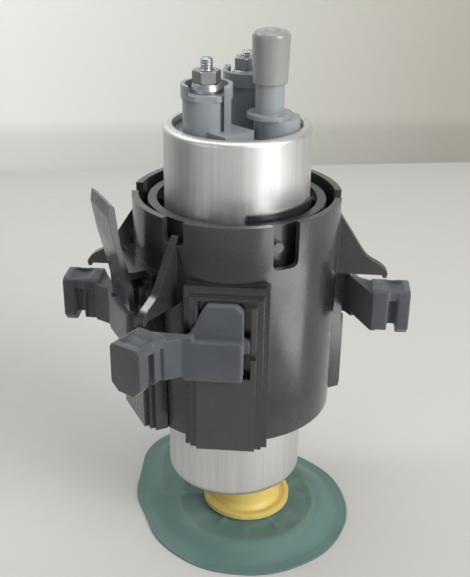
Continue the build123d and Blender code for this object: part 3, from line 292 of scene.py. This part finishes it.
    def _weave(self, tree, coordinates):
        """Adds a plain weave of two crossed wave textures.

        Args:
            tree: The material's node tree.
            coordinates: The socket that gives the coordinates.

        Returns:
            The weave's height socket.
        """
        waves = []
        for direction in ("X", "Y"):
            wave = tree.nodes.new("ShaderNodeTexWave")
            wave.bands_direction = direction
            wave.inputs["Scale"].default_value = self.relief_scale
            tree.links.new(coordinates, wave.inputs["Vector"])
            waves.append(wave.outputs["Fac"])
        return self.multiply(tree, waves[0], waves[1])


FINISHES = {
    "can_aluminium": Finish(
        "can_aluminium", (0.61, 0.605, 0.60), 0.44, 0.86, Relief.STREAKS, 900.0, 0.00002, 0.07, smudge=0.25
    ),
    "grey_plastic": Finish(
        "grey_plastic", (0.240, 0.262, 0.278), 0.34, mottle=0.05, relief_depth=0.00003, smudge=0.15
    ),
    "cap_plastic": Finish(
        "cap_plastic", (0.245, 0.246, 0.234), 0.31, mottle=0.07, subsurface=0.1, relief_depth=0.00002,
        coat=0.25, smudge=0.2,
    ),
    "zinc_steel": Finish(
        "zinc_steel", (0.40, 0.41, 0.43), 0.36, 1.0, Relief.TURNED, 3000.0, 0.00001, smudge=0.5
    ),
    "black_plastic": Finish(
        "black_plastic", (0.0135, 0.0145, 0.0155), 0.24, mottle=0.15, relief_depth=0.000012, worn=0.02,
        coat=0.35, dust=0.18, smudge=0.25,
    ),
    "sleeve_plastic": Finish(
        "sleeve_plastic", (0.020, 0.022, 0.024), 0.28, mottle=0.1, relief_depth=0.000012, coat=0.2, dust=0.15
    ),
    "mount_rubber": Finish(
        "mount_rubber", (0.040, 0.046, 0.056), 0.55, mottle=0.22, sheen=0.35, edge_radius=0.0004,
        relief_depth=0.00005, worn=0.015, dust=0.45, smudge=0.3,
    ),
    "mesh_fabric": Finish(
        "mesh_fabric", (0.108, 0.205, 0.185), 0.42, relief=Relief.WEAVE, relief_scale=620.0,
        relief_depth=0.00012, mottle=0.12, mottle_scale=45.0, sheen=0.2, alpha=0.76,
    ),
    "green_plastic": Finish("green_plastic", (0.50, 0.70, 0.48), 0.45, mottle=0.05),
    "yellow_plastic": Finish(
        "yellow_plastic", (0.69, 0.54, 0.17), 0.38, mottle=0.04, subsurface=0.5, relief_depth=0.00002
    ),
    "spring_steel": Finish("spring_steel", (0.5, 0.5, 0.5), 0.3, 1.0),
    "cast_aluminium": Finish("cast_aluminium", (0.5, 0.5, 0.5), 0.45, 1.0),
    "vane_plastic": Finish("vane_plastic", (0.03, 0.03, 0.03), 0.4),
    "bronze": Finish("bronze", (0.45, 0.28, 0.13), 0.45, 1.0),
    "shaft_steel": Finish("shaft_steel", (0.6, 0.6, 0.6), 0.2, 1.0, Relief.TURNED),
    "core_steel": Finish("core_steel", (0.3, 0.3, 0.3), 0.5, 1.0, Relief.TURNED),
    "copper": Finish("copper", (0.55, 0.2, 0.08), 0.35, 1.0),
    "carbon": Finish("carbon", (0.03, 0.03, 0.032), 0.6),
    "ferrite": Finish("ferrite", (0.05, 0.05, 0.055), 0.6),
    "ring_steel": Finish("ring_steel", (0.45, 0.45, 0.45), 0.4, 1.0),
}


class Workshop:
    """Makes and keeps one material for each slot of the record."""

    def __init__(self) -> None:
        self.materials: dict = {}

    def material(self, slot: str) -> bpy.types.Material:
        """Gives a slot's material, made on first use.

        Args:
            slot: The record's slot name.

        Returns:
            The material.
        """
        if slot not in self.materials:
            self.materials[slot] = FINISHES[slot].build()
        return self.materials[slot]

    def paint_nodes(self) -> None:
        """Gives every CAD node its slot's material."""
        for entry in frame["record"]["subparts"]:
            node = frame["nodes"][entry["node"]]
            node.data.materials.clear()
            node.data.materials.append(self.material(entry["material_slot"]))
            LOG.info("painted %s with %s", entry["node"], entry["material_slot"])


def link(name: str, mesh: bpy.types.Mesh) -> bpy.types.Object:
    """Puts a mesh into the scene as an object at the origin.

    Args:
        name: The object's name.
        mesh: Its mesh, in the frame's own coordinates.

    Returns:
        The new object.
    """
    item = bpy.data.objects.new(name, mesh)
    bpy.context.scene.collection.objects.link(item)
    return item


def from_work(name: str, work: bmesh.types.BMesh) -> bpy.types.Object:
    """Turns a bmesh into a smooth-shaded object.

    Args:
        name: The object's name.
        work: The filled bmesh, which is freed here.

    Returns:
        The new object.
    """
    bmesh.ops.recalc_face_normals(work, faces=work.faces)
    for face in work.faces:
        face.smooth = True
    mesh = bpy.data.meshes.new(name)
    work.to_mesh(mesh)
    work.free()
    return link(name, mesh)


def dress(item: bpy.types.Object, workshop: Workshop, slot: str, body: str, *nodes: str) -> None:
    """Gives a new piece its material, its body and the CAD nodes that it stands for.

    Args:
        item: The new piece.
        workshop: The maker of materials.
        slot: The record's material slot.
        body: The body that it moves with.
        *nodes: The CAD nodes that it replaces.
    """
    item.data.materials.clear()
    item.data.materials.append(workshop.material(slot))
    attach(item, body)
    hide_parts(*nodes)
    LOG.info("made %s for %s", item.name, ", ".join(nodes))


def around_point(centre: tuple, radius: float, angle: float, height: float) -> tuple:
    """Gives a point on a circle round an upright axis.

    Args:
        centre: The axis's X and Y.
        radius: Distance from the axis.
        angle: Direction in radians.
        height: Height above the floor.

    Returns:
        The point.
    """
    return centre[0] + radius * math.cos(angle), centre[1] + radius * math.sin(angle), height


def skin_rows(work: bmesh.types.BMesh, rows: list) -> None:
    """Joins closed rows of points into a band of quads.

    Args:
        work: The bmesh that gets the faces.
        rows: Lists of vertices, all of the same length.
    """
    for lower, upper in zip(rows, rows[1:]):
        count = len(lower)
        for k in range(count):
            after = (k + 1) % count
            work.faces.new((lower[k], lower[after], upper[after], upper[k]))


@dataclass
class TerminalStud:
    """One stud with a cut thread, in place of its plain CAD stud. Sizes in metres."""

    node: str
    centre: tuple
    low: float
    head_top: float
    neck: float
    top: float
    shank_radius: float = 0.0020
    tip_radius: float = 0.00182
    head_radius: float = 0.0032
    pitch: float = 0.0007
    depth: float = 0.00030
    thread_length: float = 0.0085
    runout: float = 0.0002
    end_length: float = 0.0005
    end_share: float = 0.22
    steps_per_turn: int = 7
    around: int = 36

    def radius_at(self, height: float, angle: float) -> float:
        """The thread's radius at a height and an angle.

        Args:
            height: Height above the floor.
            angle: Angle round the stud in radians.

        Returns:
            The radius in metres.
        """
        crest = self.shank_radius if height < self.neck else self.tip_radius
        turn = (height / self.pitch - angle / (2 * math.pi)) % 1.0
        flank = abs(2 * turn - 1)
        groove = self.depth * min(1.0, max(0.0, 1.35 * flank - 0.15))
        fade = min(1.0, max(0.0, (self.top - height) / self.end_length))
        return (crest - groove) * (1 - self.end_share + self.end_share * fade)

    def build(self, workshop: Workshop) -> bpy.types.Object:
        """Makes the stud.

        Args:
            workshop: The maker of materials.

        Returns:
            The new object.
        """
        work = bmesh.new()
        start = self.neck - self.thread_length
        steps = int((self.top - start) / (self.pitch / self.steps_per_turn))
        levels = [(start + (self.top - start) * k / steps, None) for k in range(steps + 1)]
        root = self.shank_radius - self.depth
        plain = [
            (self.low, self.head_radius), (self.head_top, self.head_radius),
            (self.head_top, root), (start - self.runout, root),
        ]
        rows = []
        for height, radius in plain + levels:
            row = []
            for k in range(self.around):
                angle = 2 * math.pi * k / self.around
                reach = radius if radius is not None else self.radius_at(height, angle)
                row.append(work.verts.new(around_point(self.centre, reach, angle, height)))
            rows.append(row)
        skin_rows(work, rows)
        work.faces.new(rows[0])
        work.faces.new(rows[-1])
        item = from_work(self.node + "_threaded", work)
        dress(item, workshop, "zinc_steel", "pump", self.node)
        return item


@dataclass
class RubberMount:
    """One rubber mount with moulded, rounded edges, in place of its sharp CAD solid."""

    node: str
    voxel: float = 0.00028
    factor: float = 0.5
    passes: int = 7

    def build(self, workshop: Workshop) -> bpy.types.Object:
        """Makes the mount from its CAD node.

        Args:
            workshop: The maker of materials.

        Returns:
            The new object.
        """
        source = frame["nodes"][self.node]
        rough = link(self.node + "_rough", source.data.copy())
        rough.matrix_world = source.matrix_world.copy()
        remesh = rough.modifiers.new("even", "REMESH")
        remesh.mode = "VOXEL"
        remesh.voxel_size = self.voxel
        soften = rough.modifiers.new("soft", "SMOOTH")
        soften.factor = self.factor
        soften.iterations = self.passes
        bpy.context.view_layer.update()
        graph = bpy.context.evaluated_depsgraph_get()
        mesh = bpy.data.meshes.new_from_object(rough.evaluated_get(graph))
        mesh.transform(rough.matrix_world)
        mesh.name = self.node + "_soft"
        for face in mesh.polygons:
            face.use_smooth = True
        bpy.data.objects.remove(rough)
        item = link(self.node + "_soft", mesh)
        dress(item, workshop, "mount_rubber", "pump", self.node)
        return item


@dataclass
class StrainerBag:
    """The woven bag: a welded flat edge and a soft cushion over the stiff frame. Sizes in metres."""

    circles: tuple = ((0.0045, 0.0, 0.0350), (-0.0095, 0.0240, 0.0243), (-0.0040, 0.0100, 0.0306))
    middle: tuple = (0.0044, 0.0)
    hole_radius: float = 0.01012
    ring_radius: float = 0.0232
    weld: float = 0.0030
    rise: float = 0.0068
    crown: float = 0.00500
    sag: float = 0.00055
    ring_width: float = 0.0018
    collar_width: float = 0.0020
    ring_slack: float = 0.35
    seam_inset: float = 0.0012
    seam_width: float = 0.0005
    seam_depth: float = 0.00016
    fold_depth: float = 0.00012
    ripple: float = 0.00010
    trim: float = 0.0002
    edge_top: float = 0.00062
    underside: float = 0.00006
    underside_share: float = 0.18
    underside_from: float = 0.00045
    support_range: int = 80
    spokes: int = 6
    around: int = 288
    across: int = 48

    def reach(self, angle: float) -> float:
        """Distance from the middle to the bag's edge.

        Args:
            angle: Direction in radians.

        Returns:
            The distance in metres.
        """
        best = 0.0
        for tilt in range(-self.support_range, self.support_range + 1):
            normal = angle + math.radians(tilt)
            support = max(
                (x - self.middle[0]) * math.cos(normal) + (y - self.middle[1]) * math.sin(normal) + r
                for x, y, r in self.circles
            )
            distance = support / math.cos(normal - angle)
            best = distance if best == 0.0 else min(best, distance)
        return best

    def height(self, radius: float, edge: float, angle: float) -> float:
        """The upper cloth's height.

        Args:
            radius: Distance from the middle.
            edge: The edge's distance in this direction.
            angle: Direction in radians.

        Returns:
            The height in metres.
        """
        inward = edge - radius - self.weld
        share = min(1.0, max(0.0, inward / self.rise))
        swell = share * share * (3 - 2 * share)
        ring = math.exp(-(((radius - self.ring_radius) / self.ring_width) ** 2))
        spoke = max(0.0, math.cos(self.spokes * angle)) ** 14
        inner = 1.0 if radius < self.ring_radius else self.ring_slack
        collar = math.exp(-(((radius - self.hole_radius) / self.collar_width) ** 2))
        held = min(1.0, ring + spoke * inner + collar)
        fold = self.fold_depth * math.sin(9 * angle + 260 * radius) * math.sin(700 * radius)
        from_seam = (edge - radius - self.seam_inset) / self.seam_width
        seam = self.seam_depth * math.exp(-(from_seam ** 2))
        base = self.edge_top - seam + self.ripple * math.sin(5 * angle + 1.0) * (1 - share) ** 2
        return base + (self.crown - self.edge_top - self.sag * (1 - held) + fold) * swell

    def build(self, workshop: Workshop) -> bpy.types.Object:
        """Makes the bag.

        Args:
            workshop: The maker of materials.

        Returns:
            The new object.
        """
        work = bmesh.new()
        turns = [2 * math.pi * k / self.around for k in range(self.around)]
        edges = [
            self.reach(turn) - self.trim - self.trim * math.sin(5 * turn + 0.6) ** 2 for turn in turns
        ]
        shares = [k / self.across for k in range(self.across + 1)]
        rows = [self._row(work, turns, edges, share, True) for share in shares]
        rows += [self._row(work, turns, edges, share, False) for share in reversed(shares[::6])]
        skin_rows(work, rows + [rows[0]])
        item = from_work("strainer_bag", work)
        dress(item, workshop, "mesh_fabric", "pump", "strainer_sock")
        return item

    def _row(self, work, turns: list, edges: list, share: float, upper: bool) -> list:
        """Makes one closed row of the bag's points.

        Args:
            work: The bmesh that gets the points.
            turns: The row's directions.
            edges: The edge's distance in each direction.
            share: Place between the neck's hole and the edge, from 0 to 1.
            upper: Whether it is on the upper cloth.

        Returns:
            The row's vertices.
        """
        row = []
        for turn, edge in zip(turns, edges):
            radius = self.hole_radius + (edge - self.hole_radius) * share
            if upper:
                level = self.height(radius, edge, turn)
            else:
                lift = max(0.0, self.height(edge, edge, turn) - self.underside_from)
                level = self.underside + self.underside_share * lift
            row.append(work.verts.new(around_point(self.middle, radius, turn, level)))
        return row


@dataclass(frozen=True)
class Lamp:
    """One rectangular area light. Sizes in metres, power in watts."""

    name: str
    place: tuple
    aim: tuple
    size: tuple
    power: float
    colour: tuple = (1.0, 1.0, 1.0)


LAMPS = (
    Lamp("window", (0.60, -0.48, 0.50), (0.0, 0.0, 0.08), (0.36, 0.60), 7.8, (1.0, 0.985, 0.965)),
    Lamp("ceiling", (0.0, -0.10, 1.25), (0.0, 0.0, 0.0), (0.9, 0.8), 6.6, (0.95, 0.98, 1.0)),
    Lamp("glare", (0.19, -0.16, 0.002), (0.19, -0.16, 1.0), (0.13, 0.24), 0.36, (0.94, 0.975, 1.0)),
    Lamp("fill", (-0.42, -0.42, 0.16), (0.0, 0.0, 0.07), (0.45, 0.30), 0.55, (1.0, 0.985, 0.96)),
    Lamp("wall_wash", (-0.34, 0.10, 0.50), (-0.20, 0.37, 0.17), (0.2, 0.2), 1.3, (0.95, 0.985, 1.0)),
)


@dataclass
class Studio:
    """Floor, wall, lights and camera; the floor and the wall carry painted light and shade in their colours,
    and a hidden dark card gives painted shade in reflections.
    """

    camera_place: tuple = (-0.00029, -0.260, 0.208)
    pitch_degrees: float = 25.54
    roll_degrees: float = 0.65
    lens_mm: float = 71.16
    # Painted shadow and light: the floor is darker at the left, where the pump's soft shadow falls, and
    # lighter at the right.
    floor_painted_light_colours: tuple = ((0.440, 0.434, 0.415), (0.505, 0.488, 0.458))
    # Painted light and shade: the wall is lighter at the left and darker at the right.
    wall_painted_light_colours: tuple = ((0.70, 0.700, 0.67), (0.395, 0.378, 0.335))
    # Painted shade: the wall darkens towards its lowest part, next to the floor.
    wall_foot_painted_shade: tuple = ((0.0, 0.80), (0.24, 0.84), (0.36, 1.0))
    floor_reach: tuple = ((-3, -2), (3, 4))
    paper_roughness: float = 0.75
    # Half-width of the painted light and shade ramp across the picture.
    painted_light_reach: float = 0.15
    # Painted shade: a dark sheet that stands in for the unlit left of the room in reflections.
    shade_card_colour: tuple = (0.05, 0.05, 0.05)
    shade_card_lift: float = 0.0004
    wall_distance: float = 0.378
    wall_turn: float = 0.095
    wall_half: float = 1.5
    wall_height: float = 1.6
    world_colour: tuple = (0.90, 0.95, 1.0)
    lamps: tuple = LAMPS
    reflection_shade_card: tuple = ((-0.75, -0.62), (-0.19, 0.10))
    room_strength: float = 0.24

    def build(self) -> None:
        """Makes the whole studio."""
        # The floor's colour ramp is painted shadow at the left and painted light at the right.
        self._plane("floor", self.floor_reach, 0.0, self.floor_painted_light_colours)
        # Painted shade: a dark sheet, hidden from the camera and casting no shadow, that the can reflects as
        # the unlit left of the room.
        card = self._plane("reflection_shade_card", self.reflection_shade_card, self.shade_card_lift, (self.shade_card_colour,) * 2)
        card.visible_camera = False
        card.visible_shadow = False
        self._wall()
        for lamp in self.lamps:
            self._light(lamp)
        self._world()
        self._camera()

    def _surface(self, name, corners, colours, foot=()):
        """Makes one flat stage surface.

        Args:
            name: The object's name.
            corners: The four corners in order.
            colours: Its RGB colours at the left and the right of the picture; their difference is painted
                light and shade.
            foot: Pairs of height in decimetres and brightness, lowest first, for a painted shade along the
                bottom.

        Returns:
            The new object.
        """
        mesh = bpy.data.meshes.new(name)
        work = bmesh.new()
        work.faces.new([work.verts.new(corner) for corner in corners])
        work.to_mesh(mesh)
        work.free()
        surface = bpy.data.objects.new(name, mesh)
        bpy.context.scene.collection.objects.link(surface)
        mesh.materials.append(self._paper(name, colours, foot))
        return surface

    def _paper(self, name, colours, foot):
        """Makes a matt paper whose tone changes from left to right as painted light and shade.

        Args:
            name: The surface's name.
            colours: Its RGB colours at the left and the right of the picture; their difference is painted
                light and shade.
            foot: Pairs of height in decimetres and brightness, lowest first, for a painted shade along the
                bottom.

        Returns:
            The material.
        """
        finish = Finish(
            name + "_paper", colours[0], self.paper_roughness, mottle=0.0, relief=Relief.NONE, edge_radius=0.0
        )
        material = finish.build()
        tree = material.node_tree
        shader = next(node for node in tree.nodes if node.type == "BSDF_PRINCIPLED")
        place = tree.nodes.new("ShaderNodeTexCoord").outputs["Object"]
        split = tree.nodes.new("ShaderNodeSeparateXYZ")
        tree.links.new(place, split.inputs["Vector"])
        # Painted light and shade: the colour runs from the left colour to the right colour across the
        # picture.
        across = tree.nodes.new("ShaderNodeMapRange")
        across.inputs["From Min"].default_value = -self.painted_light_reach
        across.inputs["From Max"].default_value = self.painted_light_reach
        tree.links.new(split.outputs["X"], across.inputs["Value"])
        colour = finish.ramp(tree, across.outputs["Result"], ((0.0, colours[0]), (1.0, colours[1])))
        # Painted shade: darkens the surface towards its bottom.
        if foot:
            decimetres = finish.multiply(tree, split.outputs["Z"], 10.0)
            shade = finish.ramp(tree, decimetres, tuple((at, (level,) * 3) for at, level in foot))
            mix = tree.nodes.new("ShaderNodeMixRGB")
            mix.blend_type = "MULTIPLY"
            mix.inputs["Fac"].default_value = 1.0
            tree.links.new(colour, mix.inputs["Color1"])
            tree.links.new(shade, mix.inputs["Color2"])
            colour = mix.outputs["Color"]
        tree.links.new(colour, shader.inputs["Base Color"])
        return material

    def _plane(self, name, reach, height, colours):
        """Makes a level surface.

        Args:
            name: The object's name.
            reach: Its lowest and highest corners in X and Y.
            height: Its height.
            colours: Its RGB colours at the left and the right; their difference is painted light and shade.

        Returns:
            The new object.
        """
        (x0, y0), (x1, y1) = reach
        corners = ((x0, y0, height), (x1, y0, height), (x1, y1, height), (x0, y1, height))
        return self._surface(name, corners, colours)

    def _wall(self) -> None:
        """Makes the wall behind the floor, open to a view from its back."""
        half, top = self.wall_half, self.wall_height
        near = self.wall_distance - half * self.wall_turn
        far = self.wall_distance + half * self.wall_turn
        corners = ((-half, near, 0), (half, far, 0), (half, far, top), (-half, near, top))
        # The wall is painted lighter at the left and darker at the right, with a painted shade along its
        # bottom.
        wall = self._surface("wall", corners, self.wall_painted_light_colours, self.wall_foot_painted_shade)
        tree = wall.data.materials[0].node_tree
        shader = next(node for node in tree.nodes if node.type == "BSDF_PRINCIPLED")
        output = next(node for node in tree.nodes if node.type == "OUTPUT_MATERIAL")
        geometry = tree.nodes.new("ShaderNodeNewGeometry")
        clear = tree.nodes.new("ShaderNodeBsdfTransparent")
        sides = tree.nodes.new("ShaderNodeMixShader")
        tree.links.new(geometry.outputs["Backfacing"], sides.inputs[0])
        tree.links.new(shader.outputs["BSDF"], sides.inputs[1])
        tree.links.new(clear.outputs["BSDF"], sides.inputs[2])
        tree.links.new(sides.outputs["Shader"], output.inputs["Surface"])

    def _light(self, lamp: Lamp) -> None:
        """Makes one rectangular area light.

        Args:
            lamp: The light's place, aim, size, power and colour.
        """
        data = bpy.data.lights.new(lamp.name, "AREA")
        data.shape = "RECTANGLE"
        data.size, data.size_y = lamp.size
        data.energy = lamp.power
        data.color = lamp.colour
        light = bpy.data.objects.new(lamp.name, data)
        bpy.context.scene.collection.objects.link(light)
        light.location = lamp.place
        aim = Vector(lamp.aim) - Vector(lamp.place)
        light.rotation_euler = aim.to_track_quat("-Z", "Y").to_euler()

    def _world(self) -> None:
        """Makes the even surrounding light."""
        world = bpy.data.worlds.new("room")
        world.use_nodes = True
        background = world.node_tree.nodes["Background"]
        background.inputs["Color"].default_value = (*self.world_colour, 1.0)
        background.inputs["Strength"].default_value = self.room_strength
        bpy.context.scene.world = world

    def _camera(self) -> None:
        """Places the camera as fitted to the photograph."""
        data = bpy.data.cameras.new("camera")
        data.sensor_fit = "HORIZONTAL"
        data.sensor_width = 36.0
        data.lens = self.lens_mm
        data.clip_start = 0.01
        camera = bpy.data.objects.new("camera", data)
        bpy.context.scene.collection.objects.link(camera)
        tilt = Matrix.Rotation(math.radians(90 - self.pitch_degrees), 4, "X")
        roll = Matrix.Rotation(math.radians(self.roll_degrees), 4, "Z")
        camera.matrix_world = Matrix.Translation(self.camera_place) @ tilt @ roll
        scene = bpy.context.scene
        scene.camera = camera
        scene.view_settings.view_transform = "Standard"


def main() -> None:
    """Builds every sub-assembly in order."""
    logging.basicConfig(level=logging.INFO)
    workshop = Workshop()
    workshop.paint_nodes()
    TerminalStud("terminal_stud_left", (-0.0087, -0.0060), 0.1327, 0.1343, 0.15275, 0.1560).build(workshop)
    TerminalStud("terminal_stud_rear", (0.0027, 0.0076), 0.1336, 0.1352, 0.15365, 0.1554).build(workshop)
    for side in ("left", "front", "right", "rear"):
        RubberMount("rubber_mount_" + side).build(workshop)
    StrainerBag().build(workshop)
    Studio().build()


if __name__ == "__main__":
    main()
